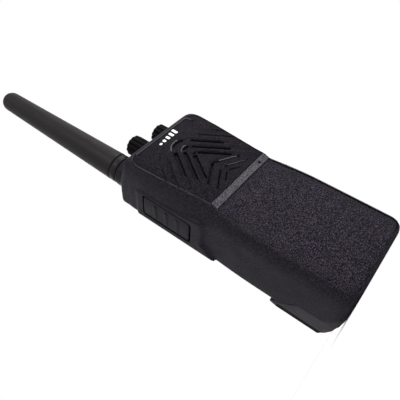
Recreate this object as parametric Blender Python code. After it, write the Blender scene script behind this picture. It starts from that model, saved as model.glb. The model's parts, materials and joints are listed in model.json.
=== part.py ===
"""Portable two-way radio, standing on its base.

Dimensions are in millimetres. X runs to the right of someone facing the radio,
Y runs back from the front face, and Z runs up from the base. at() moves a point
into the world, where Y is counted from the middle of the radio's depth.
"""

import math

import bmesh
import bpy
from mathutils import Vector

MM = 0.001
GAP = 0.3                 # clearance between touching pieces
DEPTH_MID = 17.75         # depth, behind the front face, of the world's Y = 0

# Housing
SIDE_X = 28.75            # half the width
WAIST = 1.1               # how far each side draws in at the grip
WAIST_Z = 76.0
TOP_Z = 129.6
BACK_Y = 33.0
WALL = 1.9
SIDE_WALL = 2.95
FOOT_CORNER = 6.5         # radius of the bottom corners seen from the front
TOP_CORNER = 5.0          # radius of the top corners
FRONT_CORNER = 8.0        # radius of the top corners of the flat front
UPPER_FRONT = -1.2        # the grille end stands proud of the front face
STEP_LOW_Z, STEP_HIGH_Z = 72.6, 76.0
EDGE_LOW, EDGE_STEP, EDGE_TOP = 25.6, 23.3, 27.0   # half widths of the flat front

# Battery bay
BAY_X, BAY_Y, BAY_TOP = 25.8, 17.2, 111.3
SWING_Y, SWING_Z = 29.5, 107.0

# Antenna corner
ANTENNA_X, ANTENNA_Y = -18.9, 19.3
SHOULDER_TOP = 133.2
BOSS_TOP = 138.3
RING_TOP = 142.8
ANTENNA_TOP = 243.0

# Knobs
KNOB_Y = 14.0
CHANNEL_X, CHANNEL_TOP = -3.5, 146.0
VOLUME_X, VOLUME_TOP = 13.4, 142.2
KNOB_BASE = 130.6

LIGHT_XY = (5.0, 22.0)

# Talk key
KEY_LOW_Z, KEY_HIGH_Z = 84.3, 114.8
KEY_FRONT_Y, KEY_BACK_Y = 15.6, 28.8
KEY_OUT = 29.9
KEY_POCKET = 26.9
PLUNGER_Y = 16.6

# Speaker and microphone, as (x, z)
SPEAKER_Z = 99.0
SPEAKER_R = 18.0
MICROPHONE_XZ = (16.5, 74.4)

# Battery
BATTERY_X, BATTERY_FRONT, BATTERY_BACK, BATTERY_TOP = 25.3, 17.6, 34.6, 109.0
FOOT_X = 28.65
FOOT_BACK = 37.0


def at(x, y, z):
    return Vector((x, y - DEPTH_MID, z)) * MM


# --- Helpers ---------------------------------------------------------------

def clear_scene():
    for obj in list(bpy.data.objects):
        bpy.data.objects.remove(obj)


def material(name, color, roughness, metallic=0.0):
    mat = bpy.data.materials.new(name)
    mat.use_nodes = True
    shader = mat.node_tree.nodes["Principled BSDF"]
    shader.inputs["Base Color"].default_value = (*color, 1.0)
    shader.inputs["Roughness"].default_value = roughness
    shader.inputs["Metallic"].default_value = metallic
    return mat


def finish_object(name, bm, mat, pivot=(0.0, DEPTH_MID, 0.0), smooth=False):
    """Object from a bmesh in millimetres, with its origin at the pivot."""
    bmesh.ops.recalc_face_normals(bm, faces=bm.faces)
    origin = at(*pivot)
    for vert in bm.verts:
        vert.co = at(*vert.co) - origin
    mesh = bpy.data.meshes.new(name)
    bm.to_mesh(mesh)
    bm.free()
    obj = bpy.data.objects.new(name, mesh)
    obj.location = origin
    bpy.context.scene.collection.objects.link(obj)
    if mat:
        mesh.materials.append(mat)
    if smooth:
        mesh.shade_smooth()
        mesh.set_sharp_from_angle(angle=math.radians(35))
    return obj


def boolean(obj, bm, operation="DIFFERENCE"):
    """Cuts the shape in bm from obj, or joins it, with a hidden helper object."""
    count = len(obj.modifiers)
    helper = finish_object(f"{obj.name}_tool_{count}", bm, None)
    helper.hide_render = True
    helper.display_type = "WIRE"
    modifier = obj.modifiers.new(f"{operation.lower()}_{count}", "BOOLEAN")
    modifier.operation = operation
    modifier.solver = "EXACT"
    modifier.object = helper
    return helper


def join_rings(bm, rings, closed_ends=True):
    """Skin over a list of rings of points, each with the same count."""
    loops = [[bm.verts.new(p) for p in ring] for ring in rings]
    count = len(loops[0])
    for low, high in zip(loops, loops[1:]):
        for i in range(count):
            j = (i + 1) % count
            bm.faces.new((low[i], low[j], high[j], high[i]))
    if closed_ends:
        bm.faces.new(list(reversed(loops[0])))
        bm.faces.new(loops[-1])
    return bm


def box(low, high):
    (x0, y0, z0), (x1, y1, z1) = low, high
    outline = [(x0, y0), (x1, y0), (x1, y1), (x0, y1)]
    return join_rings(bmesh.new(), [[(x, y, z) for x, y in outline] for z in (z0, z1)])


def prism_x(outline, x0, x1):
    """Outline of (y, z) points, extruded along X."""
    return join_rings(bmesh.new(), [[(x, y, z) for y, z in outline] for x in (x0, x1)])


def prism_y(outline, y0, y1):
    """Outline of (x, z) points, extruded along Y."""
    return join_rings(bmesh.new(), [[(x, y, z) for x, z in outline] for y in (y0, y1)])


def circle(radius, count, start=0.0):
    step = 2 * math.pi / count
    return [(radius * math.cos(start + i * step), radius * math.sin(start + i * step))
            for i in range(count)]


def turned(profile, centre, count, axis="Z"):
    """Solid of revolution: profile is (radius, distance along the axis)."""
    rings = []
    for radius, along in profile:
        ring = []
        for u, v in circle(radius, count):
            if axis == "Z":
                ring.append((centre[0] + u, centre[1] + v, along))
            elif axis == "Y":
                ring.append((centre[0] + u, along, centre[1] + v))
            else:
                ring.append((along, centre[0] + u, centre[1] + v))
        rings.append(ring)
    return join_rings(bmesh.new(), rings)


def rounded_rectangle(u0, v0, u1, v1, radius, steps=4):
    corners = ((u1 - radius, v1 - radius, 0), (u0 + radius, v1 - radius, 90),
               (u0 + radius, v0 + radius, 180), (u1 - radius, v0 + radius, 270))
    points = []
    for cu, cv, start in corners:
        for i in range(steps + 1):
            a = math.radians(start + 90 * i / steps)
            points.append((cu + radius * math.cos(a), cv + radius * math.sin(a)))
    return points


def smoothstep(low, high, value):
    t = min(max((value - low) / (high - low), 0.0), 1.0)
    return t * t * (3 - 2 * t)


def blend(a, b, t):
    return a + (b - a) * t


# --- Housing ---------------------------------------------------------------

def corner_cut(z):
    """How far the rounded corners draw the sides in at a height."""
    if z < FOOT_CORNER:
        return FOOT_CORNER - math.sqrt(FOOT_CORNER**2 - (FOOT_CORNER - z) ** 2)
    rise = max(z - (TOP_Z - TOP_CORNER), 0.0)
    return TOP_CORNER - math.sqrt(TOP_CORNER**2 - rise**2)


def front_corner_cut(z):
    """The same for the flat front, whose top corners are rounder."""
    rise = min(max(z - (TOP_Z - FRONT_CORNER), 0.0), FRONT_CORNER - 0.01)
    return max(corner_cut(z), FRONT_CORNER - math.sqrt(FRONT_CORNER**2 - rise**2))


def side_x(z):
    """Half width of the body at a height."""
    return SIDE_X - WAIST * math.exp(-((z - WAIST_Z) / 17) ** 2) - corner_cut(z)


def front_y(z):
    return UPPER_FRONT * smoothstep(STEP_LOW_Z, STEP_HIGH_Z, z)


def front_edge_x(z):
    """Half width of the flat front at a height."""
    if z < STEP_LOW_Z:
        edge = blend(EDGE_LOW, EDGE_STEP, smoothstep(45, STEP_HIGH_Z, z))
    else:
        edge = blend(EDGE_STEP, EDGE_TOP, smoothstep(64, 124, z))
    return edge - front_corner_cut(z)


def body_section(z, inset=0.0, side_inset=0.0):
    """Outline of the body at a height: flat front, flanks, sides, rounded back."""
    half, edge, front = side_x(z), front_edge_x(z), front_y(z)
    flank_depth = blend(9.0, 13.5, smoothstep(60, 84, z))
    power = blend(1.0, 1.45, smoothstep(60, 84, z))
    right = [(edge, front)]
    for i in range(1, 7):
        a = math.pi / 2 * i / 6
        right.append((edge + (half - edge) * math.sin(a) ** power,
                      front + flank_depth * (1 - math.cos(a) ** power)))
    corner = 2.5
    for i in range(4):
        a = math.pi / 2 * i / 3
        right.append((half - corner + corner * math.cos(a),
                      BACK_Y - corner + corner * math.sin(a)))
    shrunk = []
    for x, y in right:
        shrunk.append((x - side_inset, y + (inset if y < BACK_Y / 2 else -inset)))
    return [(x, y, z) for x, y in shrunk] + [(-x, y, z) for x, y in reversed(shrunk)]


def body_solid(heights, inset=0.0, side_inset=0.0):
    """Skin through the body's sections; each height is (z, extra inset of front and back)."""
    rings = [body_section(z, inset + extra, side_inset) for z, extra in heights]
    return join_rings(bmesh.new(), rings)


def seam_profile(offset):
    """(y, z) points of the parting line between housing and battery foot.

    offset moves the line back, into the battery.
    """
    line = [(13.0, -1.0), (13.6, 0.3), (18.8, 2.2), (22.0, 4.7), (23.6, 8.6),
            (23.9, 15.0), (24.6, 21.5), (27.8, 24.8), (31.0, 29.5), (33.2, 34.2)]
    moved = []
    for i, (y, z) in enumerate(line):
        ya, za = line[max(i - 1, 0)]
        yb, zb = line[min(i + 1, len(line) - 1)]
        length = math.hypot(yb - ya, zb - za)
        moved.append((y + offset * (zb - za) / length, z - offset * (yb - ya) / length))
    return moved


def grille_outline(inset=0.0):
    """(x, z) outline of the raised grille panel."""
    right = []
    for z in (STEP_HIGH_Z + 0.4, 84.0, 92.0, 102.0, 112.0, 121.0):
        right.append((front_edge_x(z) - 0.6 - inset, z))
    right[0] = (right[0][0], right[0][1] + inset)
    top, corner = 126.4 - inset, 4.4
    edge = front_edge_x(122.0) - 0.6 - inset
    for i in range(6):
        a = math.pi / 2 * i / 5
        right.append((edge - corner * (1 - math.cos(a)), top - corner * (1 - math.sin(a))))
    return right + [(-x, z) for x, z in reversed(right)]


def panel_outline(inset=0.0):
    """(x, z) outline of the lower front panel."""
    low, corner = 1.6 + inset, 4.0
    side = [(front_edge_x(z) - 0.5 - inset, z) for z in (10.0, 45.0, 56.0, 66.0)]
    edge = side[0][0]
    right = []
    for i in range(4):
        a = math.pi / 2 * (i / 4 - 1)
        right.append((edge - corner + corner * math.cos(a), low + corner + corner * math.sin(a)))
    right += side + [(front_edge_x(71.0) - 0.4 - inset, STEP_LOW_Z - 0.3 - inset)]
    return right + [(-x, z) for x, z in reversed(right)]


def antenna_shoulder():
    """Raised left end of the top: its front slopes back and its rear corner is tight."""
    rings = []
    for z, inset in ((118.0, 0.0), (128.4, 0.0), (130.2, 0.0), (131.8, 0.3), (132.5, 1.0),
                     (SHOULDER_TOP, 2.2)):
        front = -0.6 + 3.6 * max(z - 128.4, 0.0) + inset
        flank = min(12.0, 0.8 * (25.5 - front))
        ring = [(-12.6 - inset, front)]
        for i in range(6):
            a = math.pi / 2 * i / 5
            ring.append((-26.2 + inset - 2.4 * math.sin(a), front + flank * (1 - math.cos(a))))
        for i in range(4):
            a = math.pi / 2 * i / 3
            ring.append((-26.2 + inset - 2.4 * math.cos(a), 30.4 - inset + 2.4 * math.sin(a)))
        ring.append((-12.6 - inset, 32.8 - inset))
        rings.append([(x, y, z) for x, y in ring])
    return join_rings(bmesh.new(), rings)


def make_front_housing(mat):
    heights = [(0.0, 1.0), (0.35, 0.35), (1.0, 0.0)]
    heights += [(z, 0.0) for z in (2.5, 4.5, FOOT_CORNER, 20, 34, 48, 56, 63, 68, STEP_LOW_Z)]
    heights += [(z, 0.0) for z in (74.3, STEP_HIGH_Z, 80, 86, 93, 101, 109, 117, 122, 124.6)]
    heights += [(126.3, 0.0), (127.4, 0.25), (128.4, 0.8), (129.2, 1.6), (TOP_Z - 0.02, 2.8)]
    housing = finish_object("front_housing", body_solid(heights), mat, smooth=True)
    boolean(housing, antenna_shoulder(), "UNION")
    collar = [(8.2, 121.0), (8.2, BOSS_TOP - 1.0), (7.6, BOSS_TOP)]
    boolean(housing, turned(collar, (ANTENNA_X, ANTENNA_Y), 32), "UNION")

    inner = [(WALL + 0.2, 0.0), (FOOT_CORNER, 0.0), (34, 0.0), (56, 0.0), (68, 0.0)]
    inner += [(STEP_LOW_Z, 0.0), (STEP_HIGH_Z, 0.0), (86, 0.0), (101, 0.0), (TOP_Z - WALL, 0.0)]
    boolean(housing, body_solid(inner, WALL, SIDE_WALL))
    boolean(housing, box((-BAY_X, BAY_Y, 2.9), (BAY_X, BACK_Y + 3, BAY_TOP)))
    foot = seam_profile(0.0) + [(40.0, 34.2), (40.0, -1.0)]
    boolean(housing, prism_x(foot, -40, 40))

    # Seats of the pieces let into the front, and the sound opening behind the grille.
    boolean(housing, prism_y(grille_outline(-GAP), -3.0, 0.55))
    boolean(housing, prism_y(panel_outline(-GAP), -3.0, 0.9))
    step = [(-23.2, 72.3), (23.2, 72.3), (23.2, 76.7), (-23.2, 76.7)]
    boolean(housing, prism_y(step, -3.0, 1.2))
    opening = [(SPEAKER_R - 1, -2.0), (SPEAKER_R - 1, 4.0)]
    boolean(housing, turned(opening, (0.0, SPEAKER_Z), 32, "Y"))
    boolean(housing, turned([(1.0, -2.0), (1.0, 4.0)], MICROPHONE_XZ, 12, "Y"))

    # Talk key pocket with the plunger hole, and the accessory socket on the other side.
    boolean(housing, prism_x(key_outline(0.8), -40, -KEY_POCKET))
    boolean(housing, turned([(1.1, -30.0), (1.1, -24.0)], (PLUNGER_Y, 100.0), 12, "X"))
    boolean(housing, prism_x(rounded_rectangle(9.6, 93.0, 21.4, 109.0, 1.5), 24.0, 40.0))

    # Holes in the top for the two shafts, the light and the antenna socket.
    for x in (CHANNEL_X, VOLUME_X):
        boolean(housing, turned([(4.0, 124.0), (4.0, 132.0)], (x, KNOB_Y), 20))
    boolean(housing, turned([(1.6, 124.0), (1.6, 132.0)], LIGHT_XY, 12))
    boolean(housing, turned([(4.6, 112.0), (4.6, 141.0)], (ANTENNA_X, ANTENNA_Y), 24))

    # Sockets in the side walls for the battery's pivots.
    boolean(housing, turned([(1.9, -26.6), (1.9, 26.6)], (SWING_Y, SWING_Z), 16, "X"))
    return housing


# --- Front trim ------------------------------------------------------------

# Height of the apex, its radius, and how far the slot and the groove run down the arm
CHEVRONS = ((122.1, 7.5, 28.6, 31.7), (113.5, 3.8, 26.1, 35.3), (105.9, 2.0, 20.6, 30.9))
ARM_ANGLE = math.radians(35)


def chevron_path(apex_z, radius, start=0.0, end=24.0):
    """Points along one arm from the rounded apex down to the right edge of the panel."""
    slope = Vector((math.sin(ARM_ANGLE), -math.cos(ARM_ANGLE)))
    tangent = radius / math.tan(ARM_ANGLE)
    points = []
    if start <= 0.0:
        centre_z = apex_z - radius / math.sin(ARM_ANGLE)
        for i in range(5):
            a = math.pi / 2 - (math.pi / 2 - ARM_ANGLE) * i / 5
            points.append((radius * math.cos(a), centre_z + radius * math.sin(a)))
    first = max(start, tangent)
    for length in (first, end):
        points.append((slope.x * length, apex_z + slope.y * length))
    return points


def thick_line(points, width):
    """Outline of a line of (x, z) points with a width."""
    left, right = [], []
    for i, (x, z) in enumerate(points):
        xa, za = points[max(i - 1, 0)]
        xb, zb = points[min(i + 1, len(points) - 1)]
        length = math.hypot(xb - xa, zb - za)
        nx, nz = (zb - za) / length * width / 2, -(xb - xa) / length * width / 2
        left.append((x + nx, z + nz))
        right.append((x - nx, z - nz))
    return left + right[::-1]


def make_speaker_grille(mat):
    front = UPPER_FRONT - 0.3
    outline = grille_outline()
    soft = grille_outline(0.5)
    rings = [[(x, y, z) for x, z in ring]
             for ring, y in ((outline, 0.25), (outline, front + 0.4), (soft, front))]
    grille = finish_object("speaker_grille", join_rings(bmesh.new(), rings), mat)
    for apex_z, radius, slot_end, groove_end in CHEVRONS:
        arm = chevron_path(apex_z, radius, 0.0, groove_end)
        whole = [(-x, z) for x, z in reversed(arm)][:-1] + arm
        boolean(grille, prism_y(thick_line(whole, 2.6), -4.0, front + 0.8))
        slot = chevron_path(apex_z, radius, radius / math.tan(ARM_ANGLE) + 3.0, slot_end)
        for side in (1, -1):
            outline = thick_line([(side * x, z) for x, z in slot], 1.3)
            boolean(grille, prism_y(outline, -4.0, 2.0))
    boolean(grille, prism_y([(-21.0, 120.2), (21.0, 120.2), (19.5, 125.4), (-19.5, 125.4)],
                            -4.0, front + 0.7))
    return grille


def make_label_plate(mat):
    outline = [(-20.6, 120.5), (20.6, 120.5), (19.3, 125.1), (-19.3, 125.1)]
    front = UPPER_FRONT - 0.3
    return finish_object("label_plate", prism_y(outline, front + 0.3, front + 0.69), mat)


def make_divider_strip(mat):
    """Sloped band between the two levels of the front, with the microphone hole."""
    profile = [(0.9, 72.65), (-0.1, 72.65), (UPPER_FRONT - 0.2, 76.05), (UPPER_FRONT - 0.2, 76.35),
               (0.9, 76.35)]
    strip = finish_object("divider_strip", prism_x(profile, -22.8, 22.8), mat)
    boolean(strip, turned([(0.8, -4.0), (0.8, 3.0)], MICROPHONE_XZ, 14, "Y"))
    return strip


def make_front_panel(mat):
    outline, soft = panel_outline(), panel_outline(0.3)
    rings = [[(x, y, z) for x, z in ring]
             for ring, y in ((outline, 0.6), (outline, 0.25), (soft, 0.0))]
    return finish_object("front_panel", join_rings(bmesh.new(), rings), mat)


# --- Sound -----------------------------------------------------------------

def make_speaker(frame_mat, cone_mat, mesh_mat):
    centre = (0.0, SPEAKER_Z)
    finish_object("speaker_mesh", turned([(SPEAKER_R + 1.5, 2.2 + GAP), (SPEAKER_R + 1.5, 2.8)],
                                         centre, 32, "Y"), mesh_mat)
    frame = turned([(SPEAKER_R, 3.2), (SPEAKER_R, 4.6), (13.0, 6.4), (9.0, 6.8), (9.0, 11.0)],
                   centre, 32, "Y")
    frame = finish_object("speaker_frame", frame, frame_mat, smooth=True)
    boolean(frame, turned([(SPEAKER_R - 1.6, 3.0), (SPEAKER_R - 1.6, 3.8), (7.0, 6.2)],
                          centre, 32, "Y"))
    cone = turned([(0.6, 4.5), (6.0, 5.0), (SPEAKER_R - 2.6, 3.2), (SPEAKER_R - 2.2, 3.5),
                   (6.0, 5.6), (0.6, 5.2)], centre, 32, "Y")
    finish_object("speaker_cone", cone, cone_mat, smooth=True)


def make_microphone(mat):
    finish_object("microphone", turned([(2.6, 2.6), (2.6, 6.0)], MICROPHONE_XZ, 20, "Y"), mat)


# --- Inside ----------------------------------------------------------------

def make_inside(board_mat, shield_mat, cast_mat, seal_mat, steel_mat, brass_mat):
    finish_object("main_board", box((-24.0, 12.2, 8.0), (24.0, 13.4, 108.0)), board_mat)
    can = box((-20.0, 9.0, 14.0), (20.0, 11.9, 66.0))
    can = finish_object("shield_can", can, shield_mat)
    boolean(can, box((-19.4, 9.6, 14.6), (19.4, 13.0, 65.4)))
    chassis = box((-24.6, 14.0, 4.0), (24.6, 16.6, 110.9))
    chassis = finish_object("chassis", chassis, cast_mat)
    boolean(chassis, box((-25.2, 13.8, 109.4), (25.2, 27.5, 111.0)), "UNION")
    screws = [(x, z) for z in (16.0, 96.0) for x in (-20.0, 20.0)]
    for x, z in screws:
        boolean(chassis, turned([(1.8, 13.0), (1.8, 18.0)], (x, z), 14, "Y"))
    seal = finish_object("main_seal", box((-24.5, 16.8, 4.4), (24.5, 17.35, 108.4)), seal_mat)
    boolean(seal, box((-22.8, 15.0, 6.2), (22.8, 19.0, 106.6)))
    for number, (x, z) in enumerate(screws, 1):
        screw = turned([(1.4, 13.8), (1.4, 16.95)], (x, z), 14, "Y")
        finish_object(f"chassis_screw_{number}", screw, steel_mat)
    finish_object("talk_switch", box((-25.45, 14.9, 98.0), (-24.9, 17.1, 102.0)), steel_mat)
    finish_object("contact_block", box((-7.0, 16.9, 60.0), (7.0, 17.3, 68.0)), brass_mat)


# --- Knobs and antenna -----------------------------------------------------

def fluted_ring(x, y, z, radius, depth, flutes=16, per_flute=4):
    ring = []
    for i in range(flutes * per_flute):
        a = 2 * math.pi * i / (flutes * per_flute)
        r = radius - depth * (0.5 - 0.5 * math.cos(a * flutes))
        ring.append((x + r * math.cos(a), y + r * math.sin(a), z))
    return ring


def make_knob(name, x, top, mat):
    levels = ((6.6, 0.0, KNOB_BASE), (6.6, 0.0, KNOB_BASE + 2.2), (6.0, 0.55, KNOB_BASE + 3.2),
              (6.1, 0.55, top - 1.4), (5.5, 0.45, top - 0.3), (4.6, 0.0, top))
    rings = [fluted_ring(x, KNOB_Y, z, r, d) for r, d, z in levels]
    knob = finish_object(name, join_rings(bmesh.new(), rings), mat, (x, KNOB_Y, 0.0), smooth=True)
    boolean(knob, turned([(3.3, KNOB_BASE - 1), (3.3, top - 4.0)], (x, KNOB_Y), 20))
    return knob


def make_control(kind, x, top, body_mat, shaft_mat):
    body = turned([(3.6, 125.6), (3.6, TOP_Z - 0.4)], (x, KNOB_Y), 20)
    body = finish_object(f"{kind}_control", body, body_mat)
    boolean(body, box((x - 6.0, KNOB_Y - 5.0, 114.5), (x + 6.0, KNOB_Y + 5.0, 125.8)), "UNION")
    boolean(body, turned([(2.4, 120.0), (2.4, 132.0)], (x, KNOB_Y), 16))
    shaft = turned([(2.1, 120.4), (2.1, KNOB_BASE), (3.0, KNOB_BASE + 0.4), (3.0, top - 4.4)],
                   (x, KNOB_Y), 18)
    finish_object(f"{kind}_shaft", shaft, shaft_mat, (x, KNOB_Y, 0.0), smooth=True)


def make_antenna(sheath_mat, ring_mat, metal_mat):
    centre = (ANTENNA_X, ANTENNA_Y)
    socket = turned([(4.2, 114.0), (4.2, BOSS_TOP - 0.4)], centre, 24)
    socket = finish_object("antenna_socket", socket, metal_mat)
    boolean(socket, turned([(3.2, 126.0), (3.2, BOSS_TOP + 2.0)], centre, 20))

    ring = turned([(7.4, BOSS_TOP + GAP), (8.0, BOSS_TOP + 0.8), (8.0, RING_TOP - 0.5),
                   (7.6, RING_TOP)], centre, 28)
    ring = finish_object("antenna_ring", ring, ring_mat, (ANTENNA_X, ANTENNA_Y, 0.0), smooth=True)
    boolean(ring, turned([(3.7, 130.0), (3.7, 145.0)], centre, 20))

    stud = turned([(2.9, 127.0), (2.9, 149.0)], centre, 18)
    finish_object("antenna_stud", stud, metal_mat, (ANTENNA_X, ANTENNA_Y, 0.0))

    low = RING_TOP + GAP
    profile = [(7.5, low), (8.0, low + 0.6), (8.0, low + 6.0), (7.85, low + 14.0)]
    profile += [(blend(7.85, 6.05, t), blend(low + 14, ANTENNA_TOP - 5.5, t)) for t in (0.5, 1.0)]
    for i in range(1, 5):
        a = math.pi / 2 * i / 5
        profile.append((6.05 * math.cos(a), ANTENNA_TOP - 5.5 + 5.5 * math.sin(a)))
    profile.append((0.6, ANTENNA_TOP))
    sheath = turned(profile, centre, 28)
    sheath = finish_object("antenna_sheath", sheath, sheath_mat, (ANTENNA_X, ANTENNA_Y, 0.0),
                           smooth=True)
    boolean(sheath, turned([(3.2, 130.0), (3.2, 149.4)], centre, 20))


# --- Side controls ---------------------------------------------------------

def key_outline(grow):
    """(y, z) outline of the talk key, grown all round."""
    return rounded_rectangle(KEY_FRONT_Y - grow, KEY_LOW_Z - grow, KEY_BACK_Y + grow,
                             KEY_HIGH_Z + grow, 1.5 + grow)


def make_talk_key(seal_mat, key_mat):
    floor = -KEY_POCKET
    seal = finish_object("talk_seal", prism_x(key_outline(0.4), floor - 0.25, floor - 0.1), seal_mat)
    boolean(seal, turned([(1.3, -30.0), (1.3, -24.0)], (PLUNGER_Y, 100.0), 12, "X"))

    rings = [[(x, y, z) for y, z in ring]
             for ring, x in ((key_outline(0.0), -28.2), (key_outline(0.0), -29.0),
                             (key_outline(-0.6), -29.5))]
    key = finish_object("talk_key", join_rings(bmesh.new(), rings), key_mat)
    for z in (106.7, 99.3, 92.0):
        rib = box((-KEY_OUT, KEY_FRONT_Y + 2.5, z - 1.4), (-29.3, KEY_BACK_Y - 1.8, z + 1.4))
        boolean(key, rib, "UNION")
    plunger = turned([(0.75, -28.6), (0.75, -26.5)], (PLUNGER_Y, 100.0), 12, "X")
    boolean(key, plunger, "UNION")


def make_accessory(jack_mat, cover_mat):
    jack = prism_x(rounded_rectangle(10.0, 93.4, 21.0, 108.6, 1.2), 25.9, 27.9)
    jack = finish_object("accessory_socket", jack, jack_mat)
    for z in (97.5, 104.5):
        boolean(jack, turned([(1.6, 26.2), (1.6, 29.0)], (15.5, z), 14, "X"))
    outer = rounded_rectangle(8.2, 91.6, 23.0, 110.4, 2.0)
    soft = rounded_rectangle(8.8, 92.2, 22.4, 109.8, 1.6)
    rings = [[(x, y, z) for y, z in ring]
             for ring, x in ((outer, 29.05), (outer, 29.6), (soft, KEY_OUT))]
    finish_object("accessory_cover", join_rings(bmesh.new(), rings), cover_mat, (29.4, 23.2, 101.0))


def make_status_light(mat):
    light = turned([(1.3, 125.0), (1.3, TOP_Z + 0.2), (0.8, TOP_Z + 0.6)], LIGHT_XY, 14)
    finish_object("status_light", light, mat)


# --- Battery ---------------------------------------------------------------

def foot_profile():
    """(y, z) outline of the battery's foot: parting line, step, back and curved base."""
    base = [(13.9, 0.0), (22.5, 0.0), (26.0, 0.9), (29.6, 2.5), (33.2, 4.8), (35.8, 7.6)]
    back = [(FOOT_BACK, 11.0), (FOOT_BACK, 29.2), (36.5, 30.6), (35.2, 33.0), (34.6, 34.6)]
    seam = seam_profile(GAP)[1:]
    return base + back + seam[::-1]


def foot_half_width(z):
    drop = max(FOOT_CORNER - z, 0.0)
    return FOOT_X - FOOT_CORNER + math.sqrt(FOOT_CORNER**2 - drop**2)


def make_battery(case_mat, cell_mat, brass_mat, rubber_mat, steel_mat):
    main = rounded_rectangle(-BATTERY_X, BATTERY_FRONT, BATTERY_X, BATTERY_BACK, 1.6, 3)
    rings = [[(x, y, z) for x, y in main] for z in (3.2, BATTERY_TOP)]
    case = finish_object("battery_case", join_rings(bmesh.new(), rings), case_mat,
                         (0.0, SWING_Y, SWING_Z))
    boolean(case, prism_x(foot_profile(), -FOOT_X, FOOT_X), "UNION")
    corner = [(40.0, FOOT_CORNER), (40.0, -5.0), (foot_half_width(0.0), -5.0)]
    for i in range(6):
        z = FOOT_CORNER * (1 - math.cos(math.pi / 2 * i / 5))
        corner.append((foot_half_width(z), z))
    for side in (1, -1):
        boolean(case, prism_y([(side * x, z) for x, z in corner], 5.0, 40.0))
        pivot = turned([(1.5, side * 24.6), (1.5, side * 26.3)], (SWING_Y, SWING_Z), 14, "X")
        boolean(case, pivot, "UNION")
    boolean(case, box((-23.6, 10.0, 10.0), (23.6, 33.0, 106.0)))
    boolean(case, box((-9.4, 18.8, -2.0), (9.4, 24.4, 2.0)))
    boolean(case, prism_x([(35.8, 10.4), (38.0, 10.4), (38.0, 28.6), (35.8, 28.6)], -40, 40))

    lid = box((-23.3, BATTERY_FRONT, 10.3), (23.3, 19.0, 105.7))
    lid = finish_object("battery_lid", lid, case_mat)
    for number, x in enumerate((-4.5, 0.0, 4.5), 1):
        boolean(lid, box((x - 1.3, 16.0, 60.5), (x + 1.3, 20.0, 67.5)))
        terminal = box((x - 1.0, BATTERY_FRONT + 0.2, 60.8), (x + 1.0, 18.6, 67.2))
        finish_object(f"battery_terminal_{number}", terminal, brass_mat)
    for name, side in (("battery_cell_left", -1), ("battery_cell_right", 1)):
        x0, x1 = sorted((side * 0.4, side * 22.8))
        outline = rounded_rectangle(x0, 19.6, x1, 32.0, 4.5)
        rings = [[(x, y, z) for x, y in outline] for z in (12.0, 104.0)]
        finish_object(name, join_rings(bmesh.new(), rings), cell_mat, smooth=True)
    strip = prism_x([(36.1, 10.7), (FOOT_BACK, 10.7), (FOOT_BACK, 28.3), (36.1, 28.3)], -28.2, 28.2)
    finish_object("foot_strip", strip, rubber_mat)
    latch = box((-9.0, 19.1, 0.1), (9.0, 22.4, 1.7))
    latch = finish_object("battery_latch", latch, rubber_mat, (0.0, 21.0, 1.0))
    for x in (-6.0, -2.0, 2.0, 6.0):
        boolean(latch, box((x - 0.6, 10.0, -1.0), (x + 0.6, 30.0, 0.5)))


# --- Build -----------------------------------------------------------------

def build():
    clear_scene()
    shell = material("black_shell", (0.032, 0.031, 0.036), 0.6)
    panel = material("grained_panel", (0.036, 0.034, 0.041), 0.65)
    trim = material("grey_trim", (0.16, 0.155, 0.165), 0.6)
    smooth = material("smooth_black", (0.05, 0.048, 0.052), 0.5)
    rubber = material("black_rubber", (0.02, 0.02, 0.021), 0.8)
    sheath = material("antenna_rubber", (0.045, 0.042, 0.043), 0.7)
    cell = material("cell_wrap", (0.06, 0.16, 0.32), 0.45)
    board = material("green_board", (0.02, 0.16, 0.06), 0.5)
    cast = material("cast_aluminium", (0.55, 0.56, 0.57), 0.45, 1.0)
    steel = material("bright_steel", (0.6, 0.6, 0.6), 0.35, 1.0)
    brass = material("gold_contact", (0.85, 0.62, 0.28), 0.3, 1.0)
    paper = material("speaker_paper", (0.03, 0.03, 0.03), 0.9)
    light = material("light_pipe", (0.5, 0.06, 0.04), 0.2)

    make_front_housing(shell)
    make_speaker_grille(panel)
    make_label_plate(smooth)
    make_divider_strip(trim)
    make_front_panel(panel)
    make_speaker(steel, paper, rubber)
    make_microphone(steel)
    make_inside(board, steel, cast, rubber, steel, brass)
    make_knob("channel_knob", CHANNEL_X, CHANNEL_TOP, rubber)
    make_knob("volume_knob", VOLUME_X, VOLUME_TOP, rubber)
    make_control("channel", CHANNEL_X, CHANNEL_TOP, smooth, steel)
    make_control("volume", VOLUME_X, VOLUME_TOP, smooth, steel)
    make_antenna(sheath, smooth, brass)
    make_talk_key(rubber, smooth)
    make_accessory(smooth, rubber)
    make_status_light(light)
    make_battery(shell, cell, brass, rubber, steel)


build()
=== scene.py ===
"""Looks of the portable two-way radio.

The moulded pieces are modelled again here with soft edges, louvres and grain,
each in the place of its CAD solid. Dimensions are in millimetres; at() moves a
point into the frame, which is in metres.
"""
import json
import math

import bmesh
import bpy
from mathutils import Matrix, Vector


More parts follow.
